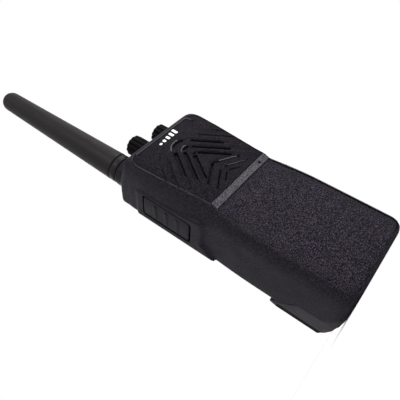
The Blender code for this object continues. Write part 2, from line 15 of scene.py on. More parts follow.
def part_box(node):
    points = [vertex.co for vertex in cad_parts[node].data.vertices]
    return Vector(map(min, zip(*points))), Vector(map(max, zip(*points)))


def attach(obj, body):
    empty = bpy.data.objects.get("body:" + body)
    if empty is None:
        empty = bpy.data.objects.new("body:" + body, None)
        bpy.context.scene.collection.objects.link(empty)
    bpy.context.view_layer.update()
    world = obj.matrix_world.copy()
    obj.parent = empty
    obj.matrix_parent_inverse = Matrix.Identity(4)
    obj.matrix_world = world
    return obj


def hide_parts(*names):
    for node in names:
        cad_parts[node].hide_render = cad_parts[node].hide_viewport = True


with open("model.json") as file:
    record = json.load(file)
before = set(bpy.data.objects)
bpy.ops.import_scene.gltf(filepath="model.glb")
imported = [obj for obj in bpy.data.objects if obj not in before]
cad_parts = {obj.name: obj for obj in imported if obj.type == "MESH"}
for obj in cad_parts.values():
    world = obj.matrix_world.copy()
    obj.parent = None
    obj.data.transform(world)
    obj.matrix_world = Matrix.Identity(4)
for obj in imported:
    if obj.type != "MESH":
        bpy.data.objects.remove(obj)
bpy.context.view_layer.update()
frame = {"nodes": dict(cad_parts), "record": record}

MM = 0.001
FRONT_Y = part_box("front_panel")[0][1]      # depth of the flat lower front

SHARP = 40.0                               # edges over this many degrees stay sharp

# Housing, as in the CAD
SIDE_X = 28.75                             # half width
WAIST, WAIST_Z, WAIST_REACH = 1.1, 76.0, 17
TOP_Z, BACK_Y = 129.6, 33.0
FOOT_CORNER, TOP_CORNER, FRONT_CORNER = 6.5, 5.0, 8.0
REAR_CORNER = 2.5
UPPER_FRONT = -1.2                         # the upper front stands proud of the lower
STEP_LOW_Z, STEP_HIGH_Z = 72.6, 76.0       # where the front steps out
EDGE_LOW, EDGE_STEP, EDGE_TOP = 25.6, 23.3, 27.0    # half width of the flat front
SEAM_TOP_Z = 34.2                          # where the parting line meets the battery's back
COLLAR_RADIUS = 8.0                        # antenna, its ring and their seat on the housing

# Inlaid pieces
GAP = 0.3                                  # seam round each of them
LIP_DEPTH, LIP_WIDTH = 0.35, 0.45          # rounding along a plate's edge
GRILLE_LOW_Z, GRILLE_TOP_Z, GRILLE_CORNER = 76.4, 126.4, 6.4
PANEL_LOW_Z, PANEL_TOP_Z, PANEL_CORNER = 1.6, 72.3, 4.0
LABEL_LOW_Z, LABEL_TOP_Z, LABEL_X = 120.3, 125.6, 20.8

# Cutters reach past the housing
PAST_SIDE, PAST_BACK, PAST_FRONT = 40, 40.0, -5.0


def at(x, y, z):
    return Vector((x * MM, FRONT_Y + y * MM, z * MM))


def centre_of(node):
    """Middle of a CAD node in the part's millimetres."""
    low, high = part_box(node)
    return [(low[0] + high[0]) / 2 / MM, ((low[1] + high[1]) / 2 - FRONT_Y) / MM,
            (low[2] + high[2]) / 2 / MM]


def span(node, axis):
    """Lowest and highest millimetre of a CAD node along an axis."""
    low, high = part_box(node)
    shift = FRONT_Y if axis == 1 else 0.0
    return (low[axis] - shift) / MM, (high[axis] - shift) / MM


# --- Materials -------------------------------------------------------------

class Shader:
    """A Principled material under construction, with noise helpers in millimetres."""

    def __init__(self, name, specular=0.2):
        self.mat = bpy.data.materials.new(name)
        self.mat.use_nodes = True
        self.tree = self.mat.node_tree
        self.main = self.tree.nodes["Principled BSDF"]
        self.main.inputs["Specular IOR Level"].default_value = specular
        self.place = self.tree.nodes.new("ShaderNodeTexCoord").outputs["Object"]

    def node(self, kind, **settings):
        made = self.tree.nodes.new(kind)
        for key, value in settings.items():
            setattr(made, key, value)
        return made

    def link(self, source, socket):
        self.tree.links.new(source, socket)

    def noise(self, size, detail=3.0, rough=0.55, stretch=(1, 1, 1)):
        """Noise whose features are about size millimetres across."""
        place = self.node("ShaderNodeMapping")
        place.inputs["Scale"].default_value = stretch
        self.link(self.place, place.inputs["Vector"])
        made = self.node("ShaderNodeTexNoise")
        made.inputs["Scale"].default_value = 1000.0 / size
        made.inputs["Detail"].default_value = detail
        made.inputs["Roughness"].default_value = rough
        self.link(place.outputs["Vector"], made.inputs["Vector"])
        return made.outputs["Fac"]

    def cells(self, size):
        """Distance to the nearest of points that are about size millimetres apart."""
        made = self.node("ShaderNodeTexVoronoi")
        made.inputs["Scale"].default_value = 1000.0 / size
        self.link(self.place, made.inputs["Vector"])
        return made.outputs["Distance"]

    def spread(self, value, low, high, to_low=0.0, to_high=1.0):
        """Maps low to high of a value onto another range."""
        made = self.node("ShaderNodeMapRange")
        for key, amount in (("From Min", low), ("From Max", high),
                            ("To Min", to_low), ("To Max", to_high)):
            made.inputs[key].default_value = amount
        self.link(value, made.inputs["Value"])
        return made.outputs["Result"]

    def mix(self, factor, first, second):
        """From a first colour to a second, which may be a socket."""
        made = self.node("ShaderNodeMix", data_type="RGBA")
        made.inputs[6].default_value = (*first, 1.0)
        if isinstance(second, tuple):
            made.inputs[7].default_value = (*second, 1.0)
        else:
            self.link(second, made.inputs[7])
        self.link(factor, made.inputs[0])
        return made.outputs[2]

    def layer(self, factor, below, colour):
        """A colour laid over what a socket gives."""
        made = self.node("ShaderNodeMix", data_type="RGBA")
        self.link(below, made.inputs[6])
        made.inputs[7].default_value = (*colour, 1.0)
        self.link(factor, made.inputs[0])
        return made.outputs[2]

    def bump(self, height, distance, under=None):
        """Bump of a height, with distance in millimetres, on top of the one under it."""
        made = self.node("ShaderNodeBump")
        made.inputs["Strength"].default_value = 1.0
        made.inputs["Distance"].default_value = distance * MM
        self.link(height, made.inputs["Height"])
        if under:
            self.link(under, made.inputs["Normal"])
        return made.outputs["Normal"]

    def finish(self, colour, roughness, normal):
        self.link(colour, self.main.inputs["Base Color"])
        self.link(roughness, self.main.inputs["Roughness"])
        self.link(normal, self.main.inputs["Normal"])
        return self.mat


def scaled(colour, amount):
    return tuple(min(c * amount, 1.0) for c in colour)


def grained_plastic(name, colour, grain, depth, speckle, roughness, specular=0.1):
    """Spark-eroded moulding: pits and specks of one grain size, with faint handling wear; the
    light specks are partly grain tone and partly painted glints.
    """
    s = Shader(name, specular)
    fine = s.noise(grain, 2.0, 0.7)
    pits = s.cells(grain * 1.5)
    blotch = s.noise(22.0, 3.0)
    base = s.mix(s.spread(blotch, 0.35, 0.65), scaled(colour, 0.86), scaled(colour, 1.14))
    # the light specks are partly painted glints: grain tone brightened where light would catch
    # the grain
    light = s.layer(s.spread(fine, 0.50, 0.68, 0.0, speckle), base, scaled(colour, 15.0))
    dark = s.layer(s.spread(fine, 0.50, 0.40, 0.0, speckle), light, scaled(colour, 0.05))
    gloss = s.spread(s.noise(9.0, 4.0), 0.3, 0.7, roughness - 0.05, roughness + 0.07)
    rough = s.bump(pits, depth * 0.5)
    return s.finish(dark, gloss, s.bump(fine, depth, rough))


def satin_plastic(name, colour, roughness):
    """Smooth moulding with flow marks, dust and fine scuffs."""
    s = Shader(name, 0.15)
    flow = s.noise(16.0, 4.0, 0.6, (1.0, 1.0, 0.35))
    dust = s.noise(0.5, 2.0, 0.8)
    scuff = s.noise(1.2, 3.0, 0.6, (1.0, 1.0, 0.12))
    base = s.mix(s.spread(flow, 0.35, 0.65), scaled(colour, 0.85), scaled(colour, 1.18))
    worn = s.layer(s.spread(dust, 0.62, 0.8, 0.0, 0.35), base, scaled(colour, 2.4))
    gloss = s.spread(scuff, 0.35, 0.7, roughness - 0.06, roughness + 0.12)
    return s.finish(worn, gloss, s.bump(dust, 0.02, s.bump(scuff, 0.012)))


def rubber(name, colour, roughness=0.62):
    s = Shader(name, 0.05)
    bloom = s.noise(7.0, 4.0)
    grain = s.noise(0.35, 2.0, 0.7)
    base = s.mix(s.spread(bloom, 0.4, 0.7), scaled(colour, 0.8), scaled(colour, 1.35))
    dusty = s.layer(s.spread(grain, 0.6, 0.8, 0.0, 0.3), base, scaled(colour, 3.0))
    gloss = s.spread(bloom, 0.3, 0.7, roughness - 0.08, roughness + 0.1)
    return s.finish(dusty, gloss, s.bump(grain, 0.03))


def metal(name, colour, roughness, brushed=(1.0, 1.0, 1.0)):
    s = Shader(name)
    s.main.inputs["Metallic"].default_value = 1.0
    lines = s.noise(0.8, 3.0, 0.6, brushed)
    stain = s.noise(8.0, 4.0)
    base = s.mix(s.spread(stain, 0.35, 0.7), scaled(colour, 0.82), scaled(colour, 1.06))
    gloss = s.spread(lines, 0.3, 0.7, roughness - 0.08, roughness + 0.12)
    return s.finish(base, gloss, s.bump(lines, 0.01))


def circuit_board(name):
    s = Shader(name)
    tracks = s.noise(1.6, 0.0, 0.5, (1.0, 1.0, 0.2))
    base = s.mix(s.spread(tracks, 0.49, 0.52), (0.008, 0.07, 0.03), (0.02, 0.15, 0.06))
    gloss = s.spread(s.noise(12.0), 0.3, 0.7, 0.32, 0.5)
    return s.finish(base, gloss, s.bump(tracks, 0.03))


def woven(name):
    s = Shader(name)
    holes = s.cells(0.5)
    base = s.mix(s.spread(holes, 0.2, 0.6), (0.004, 0.004, 0.004), (0.02, 0.02, 0.021))
    gloss = s.spread(s.noise(3.0), 0.3, 0.7, 0.75, 0.9)
    return s.finish(base, gloss, s.bump(holes, 0.1))


def lens(name, colour):
    s = Shader(name)
    s.main.inputs["Coat Weight"].default_value = 0.6
    depth = s.noise(1.5)
    base = s.mix(s.spread(depth, 0.3, 0.7), scaled(colour, 0.7), scaled(colour, 1.2))
    gloss = s.spread(s.noise(0.8), 0.3, 0.7, 0.12, 0.22)
    return s.finish(base, gloss, s.bump(depth, 0.01))


# --- Geometry helpers ------------------------------------------------------

def object_from(name, bm, angle=SHARP):
    """Object from a bmesh in the part's millimetres."""
    bmesh.ops.recalc_face_normals(bm, faces=bm.faces)
    for vert in bm.verts:
        vert.co = at(*vert.co)
    mesh = bpy.data.meshes.new(name)
    bm.to_mesh(mesh)
    bm.free()
    obj = bpy.data.objects.new(name, mesh)
    bpy.context.scene.collection.objects.link(obj)
    mesh.shade_smooth()
    mesh.set_sharp_from_angle(angle=math.radians(angle))
    return obj


def dress(obj, mat, slot, body, *nodes):
    """Gives a piece its material and body, and hides the CAD nodes it stands in for; slot is
    not used.
    """
    obj.data.materials.clear()
    obj.data.materials.append(mat)
    if nodes:
        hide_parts(*nodes)
    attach(obj, body)
    return obj


def settle(obj):
    """Makes the result of an object's modifiers its own mesh."""
    graph = bpy.context.evaluated_depsgraph_get()
    mesh = bpy.data.meshes.new_from_object(obj.evaluated_get(graph))
    obj.modifiers.clear()
    obj.data = mesh
    mesh.shade_smooth()
    mesh.set_sharp_from_angle(angle=math.radians(SHARP))
    return obj


def soften(obj, voxel, rounds):
    """Melts overlapping shapes into one moulding with rounded edges."""
    remesh = obj.modifiers.new("melt", "REMESH")
    remesh.mode = "VOXEL"
    remesh.voxel_size = voxel * MM
    smooth = obj.modifiers.new("smooth", "SMOOTH")
    smooth.factor = 0.5
    smooth.iterations = rounds
    return settle(obj)


def carve(obj, *shapes):
    """Cuts shapes, given as bmeshes, out of an object."""
    for shape in shapes:
        cutter = object_from("cutter", shape)
        modifier = obj.modifiers.new("cut", "BOOLEAN")
        modifier.operation = "DIFFERENCE"
        modifier.solver = "EXACT"
        modifier.object = cutter
        settle(obj)
        bpy.data.objects.remove(cutter)
    return obj


def join_rings(bm, rings):
    """Closed tube through rings of equally many points."""
    loops = [[bm.verts.new(p) for p in ring] for ring in rings]
    count = len(loops[0])
    for low, high in zip(loops, loops[1:]):
        for i in range(count):
            j = (i + 1) % count
            bm.faces.new((low[i], low[j], high[j], high[i]))
    bm.faces.new(list(reversed(loops[0])))
    bm.faces.new(loops[-1])
    return bm


def prism_x(outline, x0, x1):
    return join_rings(bmesh.new(), [[(x, y, z) for y, z in outline] for x in (x0, x1)])


def prism_y(outline, y0, y1):
    return join_rings(bmesh.new(), [[(x, y, z) for x, z in outline] for y in (y0, y1)])


def circle(radius, count):
    step = 2 * math.pi / count
    return [(radius * math.cos(i * step), radius * math.sin(i * step)) for i in range(count)]


def lathe(profile, x, y, count=72):
    """Turned solid about an upright axis; profile is (radius, height)."""
    rings = [[(x + u, y + v, z) for u, v in circle(r, count)] for r, z in profile]
    return join_rings(bmesh.new(), rings)


def rounded_rectangle(u0, v0, u1, v1, radius, steps=8):
    corners = ((u1 - radius, v1 - radius, 0), (u0 + radius, v1 - radius, 90),
               (u0 + radius, v0 + radius, 180), (u1 - radius, v0 + radius, 270))
    points = []
    for cu, cv, start in corners:
        for i in range(steps + 1):
            a = math.radians(start + 90 * i / steps)
            points.append((cu + radius * math.cos(a), cv + radius * math.sin(a)))
    return points


def smoothstep(low, high, value):
    t = min(max((value - low) / (high - low), 0.0), 1.0)
    return t * t * (3 - 2 * t)


def blend(a, b, t):
    return a + (b - a) * t


def steps(low, high, most):
    """Values from low to high, no more than most apart."""
    count = max(1, math.ceil((high - low) / most))
    return [low + (high - low) * i / count for i in range(count + 1)]


# --- Body shape ------------------------------------------------------------

def corner_cut(z):
    """How far the rounded corners draw the sides in at a height."""
    if z < FOOT_CORNER:
        return FOOT_CORNER - math.sqrt(FOOT_CORNER**2 - (FOOT_CORNER - z) ** 2)
    rise = min(max(z - (TOP_Z - TOP_CORNER), 0.0), TOP_CORNER - 0.01)
    return TOP_CORNER - math.sqrt(TOP_CORNER**2 - rise**2)


def front_corner_cut(z):
    """The same for the flat front, whose top corners are rounder."""
    rise = min(max(z - (TOP_Z - FRONT_CORNER), 0.0), FRONT_CORNER - 0.01)
    return max(corner_cut(z), FRONT_CORNER - math.sqrt(FRONT_CORNER**2 - rise**2))


def side_x(z):
    """Half width of the body, which draws in at the grip."""
    waist = WAIST * math.exp(-((z - WAIST_Z) / WAIST_REACH) ** 2)
    return SIDE_X - waist - corner_cut(z)


def front_y(z):
    return UPPER_FRONT * smoothstep(STEP_LOW_Z, STEP_HIGH_Z, z)


def front_edge_x(z):
    """Half width of the flat front, narrowest at the step."""
    if z < STEP_LOW_Z:
        edge = blend(EDGE_LOW, EDGE_STEP, smoothstep(45, STEP_HIGH_Z, z))
    else:
        edge = blend(EDGE_STEP, EDGE_TOP, smoothstep(64, 124, z))
    return edge - front_corner_cut(z)


def body_section(z, inset):
    """Ring round the body at a height, drawn in by inset at the front and the back."""
    half, edge, front = side_x(z), front_edge_x(z), front_y(z)
    flank_depth = blend(9.0, 13.5, smoothstep(60, 84, z))
    power = blend(1.0, 1.45, smoothstep(60, 84, z))
    right = [(edge * i / 6, front) for i in range(1, 7)]
    for i in range(1, 17):
        a = math.pi / 2 * i / 16
        right.append((edge + (half - edge) * math.sin(a) ** power,
                      front + flank_depth * (1 - math.cos(a) ** power)))
    right += [(half, y) for y in (17.0, 20.0, 23.0, 26.0)]
    for i in range(7):
        a = math.pi / 2 * i / 6
        right.append((half - REAR_CORNER + REAR_CORNER * math.cos(a),
                      BACK_Y - REAR_CORNER + REAR_CORNER * math.sin(a)))
    shrunk = [(x, y + (inset if y < 15 else -inset)) for x, y in right]
    ring = [(0.0, front + inset)] + shrunk + [(0.0, BACK_Y - inset)]
    ring += [(-x, y) for x, y in reversed(shrunk)]
    return [(x, y, z) for x, y in ring]


def seam_profile(offset):
    """(y, z) points of the parting line between housing and foot, moved square to it."""
    line = [(13.0, -1.0), (13.6, 0.3), (18.8, 2.2), (22.0, 4.7), (23.6, 8.6),
            (23.9, 15.0), (24.6, 21.5), (27.8, 24.8), (31.0, 29.5), (33.2, SEAM_TOP_Z)]
    moved = []
    for i, (y, z) in enumerate(line):
        ya, za = line[max(i - 1, 0)]
        yb, zb = line[min(i + 1, len(line) - 1)]
        length = math.hypot(yb - ya, zb - za)
        moved.append((y + offset * (zb - za) / length, z - offset * (yb - ya) / length))
    return moved


def grille_edge(z):
    """Half width of the raised grille panel at a height, with its rounded top corners."""
    edge = front_edge_x(min(z, 120.0)) - 0.6
    corner = GRILLE_CORNER
    rise = min(max(z - (GRILLE_TOP_Z - corner), 0.0), corner)
    return edge - corner + math.sqrt(corner**2 - rise**2)


def panel_edge(z):
    """Half width of the lower panel at a height, with its rounded bottom corners."""
    edge = front_edge_x(max(z, 10.0)) - 0.5
    corner = PANEL_CORNER
    if z < PANEL_LOW_Z + corner:
        drop = min(PANEL_LOW_Z + corner - z, corner)
        edge -= corner - math.sqrt(corner * corner - drop * drop)
    return edge


def outline_of(edge, low, high, grow, most):
    """Mirrored (x, z) outline of an inlaid piece, grown on all sides."""
    heights = steps(low, high, most)
    right = [(edge(z) + grow, z) for z in heights]
    right[0] = (right[0][0], low - grow)
    right[-1] = (right[-1][0], high + grow)
    return right + [(-x, z) for x, z in reversed(right)]


def border(grid):
    """What lies along the edge of a grid of rows, in order round it."""
    inner = grid[1:-1]
    return (grid[0] + [row[-1] for row in inner] + grid[-1][::-1]
            + [row[0] for row in reversed(inner)])


def plate(name, low, high, edge, height, back, pitch, place):
    """Panel whose face follows height(u, v), on a grid that follows its outline.

    edge(v) gives the lowest and highest u at a row, and place(u, v, depth) the point.
    """
    rows = steps(low, high, pitch)
    widest = max(edge(v)[1] - edge(v)[0] for v in rows)
    columns = math.ceil(widest / pitch)
    bm = bmesh.new()
    spots, grid = [], []
    for v in rows:
        u0, u1 = edge(v)
        spots.append([(u0 + (u1 - u0) * i / columns, v) for i in range(columns + 1)])
        line = []
        for u, _ in spots[-1]:
            inward = min(u - u0, u1 - u, v - low, high - v)
            lip = LIP_DEPTH * (1 - min(inward / LIP_WIDTH, 1.0)) ** 2
            line.append(bm.verts.new(place(u, v, height(u, v) + lip)))
        grid.append(line)
    for below, above in zip(grid, grid[1:]):
        for i in range(columns):
            bm.faces.new((below[i], below[i + 1], above[i + 1], above[i]))
    rim = border(grid)
    skirt = [bm.verts.new(place(u, v, back)) for u, v in border(spots)]
    count = len(rim)
    for i in range(count):
        j = (i + 1) % count
        bm.faces.new((rim[i], rim[j], skirt[j], skirt[i]))
    bm.faces.new(skirt)
    return object_from(name, bm, 60.0)


# --- Housing ---------------------------------------------------------------

def shoulder():
    """Raised left end of the top: its front slopes back and its rear corner is tight."""
    inner, outer, corner, slope_z = -12.6, -26.2, 2.4, 128.4
    rings = []
    for z, inset in ((118.0, 0.0), (slope_z, 0.0), (130.2, 0.0), (131.4, 0.1), (132.3, 0.6),
                     (132.9, 1.4), (133.2, 2.4)):
        front = -0.6 + 3.6 * max(z - slope_z, 0.0) + inset
        flank = min(12.0, 0.8 * (25.5 - front))
        ring = [(inner - inset, front)]
        for i in range(13):
            a = math.pi / 2 * i / 12
            ring.append((outer + inset - corner * math.sin(a),
                         front + flank * (1 - math.cos(a))))
        for i in range(9):
            a = math.pi / 2 * i / 8
            ring.append((outer + inset - corner * math.cos(a),
                         30.4 - inset + corner * math.sin(a)))
        ring.append((inner - inset, 32.8 - inset))
        rings.append([(x, y, z) for x, y in ring])
    return rings


def key_pad():
    """Low pad on the left side round the talk key, with a soft ridge along its front."""
    rings = []
    for x, grow in ((-25.0, 0.8), (-28.6, 0.6), (-29.15, 0.0), (-29.3, -0.8)):
        y0, y1, z0, z1 = 12.9 - grow, 32.6 + min(grow, 0.2), 77.2 - grow, 119.6 + grow
        outline = [(y1, z1), (y0 + 1.6, z1), (y0 + 0.4, z1 - 3.0), (y0, 108.0)]
        outline += [(y0 - 0.3, 96.0), (y0 - 1.4, 84.0), (y0 - 2.4, z0 + 1.6), (y0 - 1.6, z0)]
        outline += [(y1 - 7.0, z0), (y1, z0 - 9.0)]
        rings.append([(x, y, z) for y, z in outline])
    return rings


def make_housing(mat):
    heights = [(0.0, 1.3), (0.2, 0.7), (0.6, 0.25), (1.1, 0.0)]
    heights += [(z, 0.0) for z in steps(1.8, 125.4, 1.4)]
    for i in range(1, 9):
        a = math.pi / 2 * i / 8
        heights.append((126.0 + 3.59 * math.sin(a), 3.0 * (1 - math.cos(a))))
    bm = join_rings(bmesh.new(), [body_section(z, inset) for z, inset in heights])
    join_rings(bm, shoulder())
    join_rings(bm, key_pad())
    ax, ay, _ = centre_of("antenna_ring")
    top = span("front_housing", 2)[1]
    seat = COLLAR_RADIUS + 0.6
    collar = [(seat, 118.0), (seat, 132.0), (8.25, 134.0), (8.2, top - 0.9), (7.7, top)]
    join_rings(bm, [[(ax + u, ay + v, z) for u, v in circle(r, 64)] for r, z in collar])
    housing = soften(object_from("housing_shell", bm), 0.5, 5)

    foot = seam_profile(-0.25) + [(PAST_BACK, SEAM_TOP_Z), (PAST_BACK, -1.0)]
    bay_y, bay_low, bay_top, bay_x = 17.2, 2.9, 111.3, 25.8
    bay = [(bay_y, bay_low), (PAST_BACK, bay_low), (PAST_BACK, bay_top), (bay_y, bay_top)]
    ky0, ky1 = span("talk_key", 1)
    kz0, kz1 = span("talk_key", 2)
    pocket = rounded_rectangle(ky0 - 1.2, kz0 - 1.3, ky1 + 0.6, kz1 + 0.5, 2.0)
    jack = rounded_rectangle(9.6, 93.0, 21.4, 109.0, 1.5)
    strip_x, strip_low, strip_top = 23.0, 72.2, 76.8
    strip = [(-strip_x, strip_low), (strip_x, strip_low),
             (strip_x, strip_top), (-strip_x, strip_top)]
    grille = outline_of(grille_edge, GRILLE_LOW_Z, GRILLE_TOP_Z, GAP, 0.7)
    panel = outline_of(panel_edge, PANEL_LOW_Z, PANEL_TOP_Z, GAP, 1.0)
    cuts = [prism_x(foot, -PAST_SIDE, PAST_SIDE), prism_x(bay, -bay_x, bay_x),
            prism_y(grille, PAST_FRONT, 1.6), prism_y(panel, PAST_FRONT, 0.9),
            prism_y(strip, PAST_FRONT, 1.2),
            prism_x(pocket, -PAST_SIDE, -26.9), prism_x(jack, 24.5, PAST_SIDE),
            lathe([(4.6, 112.0), (4.6, 145.0)], ax, ay, 32)]
    for node in ("channel_shaft", "volume_shaft"):
        x, y, _ = centre_of(node)
        cuts.append(lathe([(4.0, 120.0), (4.0, 132.0)], x, y, 32))
    lx, ly, _ = centre_of("status_light")
    cuts.append(lathe([(1.55, 120.0), (1.55, 132.0)], lx, ly, 24))
    carve(housing, *cuts)
    return dress(housing, mat, "black_shell", "radio", "front_housing")


# --- Grille ----------------------------------------------------------------

# Steep louvres: height of the apex, its radius, where the slot starts and ends along an
# arm, and where the lane beyond it ends
ARM = math.radians(35.0)
LOUVRES = ((122.1, 7.5, 12.5, 30.0, 39.5), (113.5, 3.8, 6.2, 26.5, 39.0),
           (105.9, 2.0, 3.4, 20.6, 36.5))
# Flat louvres: height of the apex, start, end, and size against the first
FLAT_ARM = math.radians(61.0)
FLAT_LOUVRES = ((92.6, 0.7, 15.5, 1.0), (87.2, 2.0, 15.5, 0.45), (83.4, 1.2, 7.2, 0.45))
LOUVRE_REACH = 2.4                         # no louvre has relief beyond this
SLOT_IN, SLOT_OUT = -1.4, 0.1              # a steep slot's edges, across its arm
SHADED_DEPTH = 0.8                         # faces deeper than this are inside a slot and get a near-black painted shade
LEFT_HIGHLIGHT = 0.22                           # width of the painted highlight along the left edge


def chevron_distance(x, z, apex, radius, arm):
    """(distance outside the chevron's line, distance along its arm)."""
    dx, dz = abs(x), z - apex
    along = dx * math.sin(arm) - dz * math.cos(arm)
    out = dx * math.cos(arm) + dz * math.sin(arm)
    if radius and along < radius / math.tan(arm):
        return math.hypot(dx, dz + radius / math.sin(arm)) - radius, along
    return out, along


def band(value, low, high, soft):
    """1 between low and high, falling to 0 within soft on both sides."""
    return smoothstep(low - soft, low, value) * (1 - smoothstep(high, high + soft, value))


def grille_height(x, z):
    """Depth of the grille's face behind its flat level; proud louvres are negative."""
    depth = 0.0
    for apex, radius, start, end, lane in LOUVRES:
        out, along = chevron_distance(x, z, apex, radius, ARM)
        if abs(out) > LOUVRE_REACH:
            continue
        on_apex = 1 - smoothstep(0.62, 0.8, along / (radius / math.tan(ARM)))
        cut = max(band(along, start, end, 0.25), on_apex)
        tail = band(along, end, lane, 1.2)
        if out > SLOT_OUT:
            slope = smoothstep(1.5, SLOT_OUT, out)
        else:
            slope = 1 - smoothstep(SLOT_IN, -1.6, out)
        depth += 0.55 * slope * max(cut, 0.5 * tail, 0.4 * band(along, start - 3, start, 0.6))
        depth += 2.6 * band(out, SLOT_IN, SLOT_OUT, 0.12) * cut
    # Creases outside the highest louvre: a groove with a ridge beyond it
    for offset, start, end in ((4.7, 17.0, 37.0), (9.4, 24.5, 36.0)):
        out, along = chevron_distance(x, z, LOUVRES[0][0], 0.0, ARM)
        length = band(along, start, end, 2.5)
        depth += 0.45 * band(out - offset, -0.4, 0.2, 0.3) * length
        depth -= 0.12 * band(out - offset, 0.4, 0.9, 0.4) * length
    for apex, start, end, share in FLAT_LOUVRES:
        out, along = chevron_distance(x, z, apex, 0.0, FLAT_ARM)
        if abs(out) > LOUVRE_REACH:
            continue
        cut = band(along, start, end, 0.3)
        slope = smoothstep(0.3 + 1.3 * share, -0.1, out) if out > -0.1 else 0.0
        depth += 0.85 * share * slope * cut
        depth += (2.2 * share * share + 0.3) * band(out, -0.9 * share, -0.05, 0.14) * cut
    return depth


def on_painted_highlight(x, z):
    """Crests that carry a painted highlight: round the two upper apexes and along the lower
    right louvres.
    """
    for (apex, radius, *_), width in zip(LOUVRES[:2], (0.55, 0.4)):
        out, along = chevron_distance(x, z, apex, radius, ARM)
        if x < 2.0 and along < radius / math.tan(ARM) and 0.7 < out < 0.7 + width:
            return True
    for (apex, start, end, _), width in zip(FLAT_LOUVRES[:2], (0.55, 0.25)):
        out, along = chevron_distance(x, z, apex, 0.0, FLAT_ARM)
        if x > 0 and max(start, 4.0) < along < end - 1.0 and 0.2 < out < 0.2 + width:
            return True
    return False


def make_grille(mat, slot_shade_mat, highlight_mat):
    low, high = span("speaker_grille", 2)
    front = span("speaker_grille", 1)[0]

    def depth_at(x, z):
        crown = 0.5 * (abs(x) / grille_edge(z)) ** 6
        left = -LABEL_X - 0.3 * (z - 123)
        label = 0.3 * band(z, LABEL_LOW_Z, LABEL_TOP_Z, 0.15) * band(x, left, LABEL_X, 0.4)
        return crown + label + grille_height(x, z)

    grille = plate("grille_panel", low, high, lambda z: (-grille_edge(z), grille_edge(z)),
                   depth_at, 1.5, 0.24, lambda x, z, d: (x, front + d, z))
    dress(grille, mat, "grained_panel", "radio", "speaker_grille", "label_plate")
    grille.data.materials.append(slot_shade_mat)
    grille.data.materials.append(highlight_mat)
    for face in grille.data.polygons:
        x, z = face.center.x / MM, face.center.z / MM
        # painted highlight: pale material along the left edge and on the crests
        if grille_edge(z) + x < LEFT_HIGHLIGHT or on_painted_highlight(x, z):
            face.material_index = 2
        # painted shade: near-black material on faces deep inside the slots
        elif grille_height(x, z) > SHADED_DEPTH:
            face.material_index = 1
    return grille


def make_label_rim(mat):
    """Thin raised line along the top of the label field, turning down at its right end; its
    pale colour is a painted highlight along that edge.
    """
    front = span("speaker_grille", 1)[0]
    line = [(-LABEL_X, 126.05), (19.2, 126.05), (20.3, 125.2), (20.9, 122.6)]
    inner = [(x - (0.0 if i == 0 else 0.3), z - 0.3) for i, (x, z) in enumerate(line)]
    rim = object_from("label_rim", prism_y(line + inner[::-1], front - 0.1, front + 0.6))
    return dress(rim, mat, "grey_trim", "radio")


def make_label_marks(mat):
    """Five plain bars of growing height, in place of any name."""
    front = span("speaker_grille", 1)[0]
    bm = bmesh.new()
    for i in range(5):
        x = -7.0 + 3.2 * i
        outline = rounded_rectangle(x, 121.2, x + 1.7, 122.4 + 0.62 * i, 0.3, 3)
        join_rings(bm, [[(a, y, b) for a, b in outline] for y in (front + 0.4, front + 0.16)])
    return dress(object_from("label_bars", bm), mat, "grey_trim", "radio")


def make_divider(mat):
    """Band that leans out to the upper front, with the microphone hole; its lighter grey is
    painted light on the sloping face.
    """
    x0, x1 = span("divider_strip", 0)
    back = span("divider_strip", 1)[1]
    low, high = span("divider_strip", 2)
    outline = [(back, low), (-0.1, low), (-0.3, low + 0.25), (UPPER_FRONT, high - 0.7),
               (-1.35, high - 0.35), (UPPER_FRONT, high), (back, high)]
    strip = object_from("divider_band", prism_x(outline, x0 - 0.1, x1 + 0.1))
    mx, _, mz = centre_of("microphone")
    hole = [(mx + u, mz + v) for u, v in circle(0.95, 28)]
    carve(strip, prism_y(hole, -6.0, 6.0))
    bevel = strip.modifiers.new("edge", "BEVEL")
    bevel.width = 0.12 * MM
    bevel.segments = 2
    bevel.limit_method = "ANGLE"
    settle(strip)
    return dress(strip, mat, "grey_trim", "radio", "divider_strip")


def make_front_inlay(mat):
    low, high = span("front_panel", 2)
    front = span("front_panel", 1)[0]

    def depth_at(x, z):
        return 0.25 * (abs(x) / panel_edge(z)) ** 8

    inlay = plate("front_inlay", low, high, lambda z: (-panel_edge(z), panel_edge(z)),
                  depth_at, 0.6, 0.8, lambda x, z, d: (x, front + d, z))
    return dress(inlay, mat, "grained_panel", "radio", "front_panel")


# --- Top -------------------------------------------------------------------

def make_knob(name, body, mat):
    """Fluted cap on a plain skirt, bored for its shaft; profile is (radius, height, flute)."""
    x, y, _ = centre_of(name)
    low, top = span(name, 2)
    flutes, per = 12, 14
    bore, skirt, grip, flute, dome = 3.3, 6.6, 6.05, 1.1, 1.6
    profile = [(bore, top - 4.0, 0), (bore, low, 0), (6.2, low, 0), (6.55, low + 0.25, 0),
               (skirt, low + 0.6, 0), (skirt, low + 1.9, 0), (6.45, low + 2.2, 0),
               (6.1, low + 2.4, 0.2), (grip, low + 3.0, flute)]
    profile += [(grip, z, flute) for z in steps(low + 4.0, top - 2.2, 2.5)]
    for i in range(1, 8):
        a = math.pi / 2 * i / 7
        profile.append((grip - 1.5 * (1 - math.cos(a)), top - dome + dome * math.sin(a),
                        flute * (1 - i / 8)))
    profile += [(3.9, top, 0), (3.7, top - 0.15, 0), (3.4, top - 0.3, 0), (0.3, top - 0.3, 0)]
    rings = []
    for radius, z, cut in profile:
        ring = []
        for i in range(flutes * per):
            a = 2 * math.pi * i / (flutes * per)
            r = radius - cut * (0.5 - 0.5 * math.cos(a * flutes)) ** 1.6
            ring.append((x + r * math.cos(a), y + r * math.sin(a), z))
        rings.append(ring)
    bm = join_rings(bmesh.new(), rings)
    knob = object_from(f"{name}_cap", bm, 50.0)
    return dress(knob, mat, "black_rubber", body, name)


